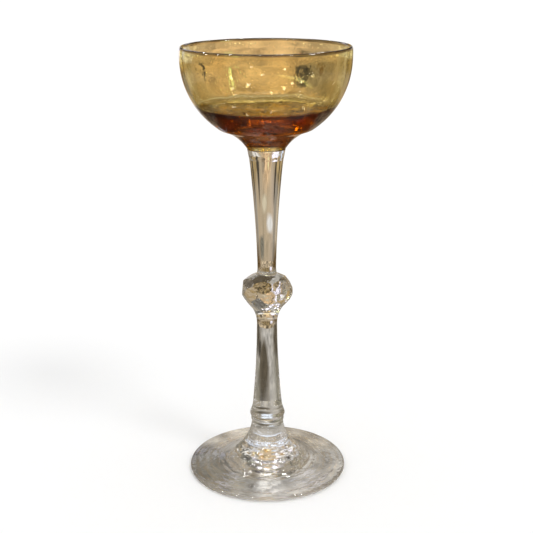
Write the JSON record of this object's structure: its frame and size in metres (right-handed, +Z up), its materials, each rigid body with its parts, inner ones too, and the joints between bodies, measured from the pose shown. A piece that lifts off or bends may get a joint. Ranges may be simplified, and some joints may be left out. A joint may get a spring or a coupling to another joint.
{
  "type": "cordial glass",
  "caption": "Tall stemmed cordial glass: a round amber bowl with a heavy base on a slim clear stem, with a facet-cut knop, ring collars and a trumpet foot.",
  "frame": {"origin": "middle of the underside of the foot, on the table", "axes": "+Z up along the axis of the glass, towards the rim; +X to the right and +Y away from the viewer of the picture"},
  "size_m": [0.0562, 0.0562, 0.1494],
  "materials": {
    "clear_glass": "polished colourless glass",
    "amber_glass": "polished amber glass"
  },
  "bodies": {
    "root": {"foot": "clear_glass", "lower_ring": "clear_glass", "upper_ring": "clear_glass", "lower_stem": "clear_glass", "knop": "clear_glass", "upper_stem": "clear_glass", "button": "clear_glass", "bowl": "amber_glass"}
  },
  "joints": []
}
